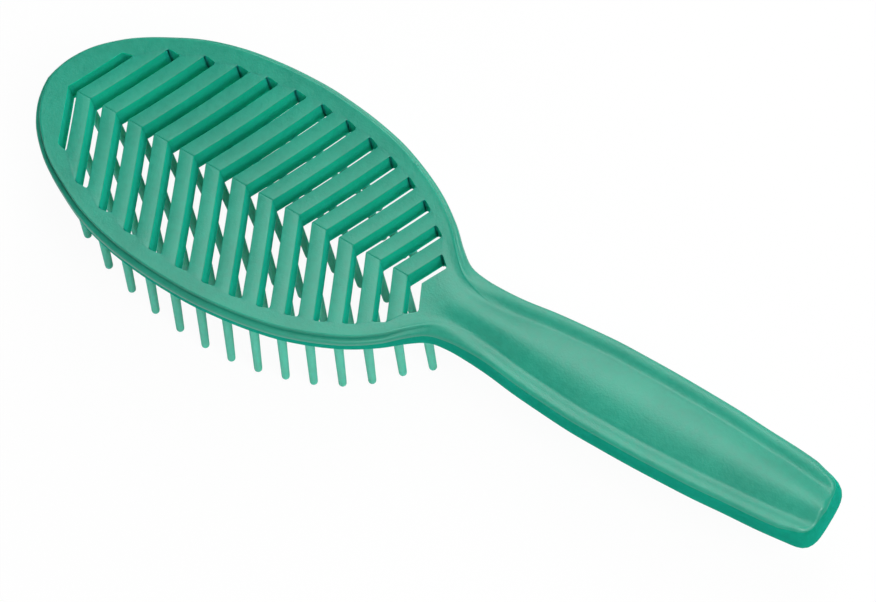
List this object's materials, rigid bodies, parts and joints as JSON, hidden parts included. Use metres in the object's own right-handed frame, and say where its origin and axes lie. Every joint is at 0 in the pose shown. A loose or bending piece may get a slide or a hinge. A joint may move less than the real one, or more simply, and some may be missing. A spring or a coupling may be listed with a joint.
{
  "type": "vented hair brush",
  "caption": "Vented hair brush with a hollow-backed oval head, swept chevron ribs with tapered round-ended pins, a beaded rim and a crowned grip with a raised border.",
  "frame": {"origin": "middle of the brush's length and width, at the level of the middle row's pin tips", "axes": "+X runs from the head's tip to the end of the grip, +Y across the head, +Z from the pin tips up to the back of the brush"},
  "size_m": [0.2276, 0.0698, 0.0342],
  "materials": {
    "frame_plastic": "satin",
    "rib_plastic": "satin"
  },
  "bodies": {
    "root": {"frame_and_grip": "frame_plastic", "vent_rib_01": "rib_plastic", "vent_rib_02": "rib_plastic", "vent_rib_03": "rib_plastic", "vent_rib_04": "rib_plastic", "vent_rib_05": "rib_plastic", "vent_rib_06": "rib_plastic", "vent_rib_07": "rib_plastic", "vent_rib_08": "rib_plastic", "vent_rib_09": "rib_plastic", "vent_rib_10": "rib_plastic", "vent_rib_11": "rib_plastic", "vent_rib_12": "rib_plastic", "vent_rib_13": "rib_plastic"}
  },
  "joints": []
}
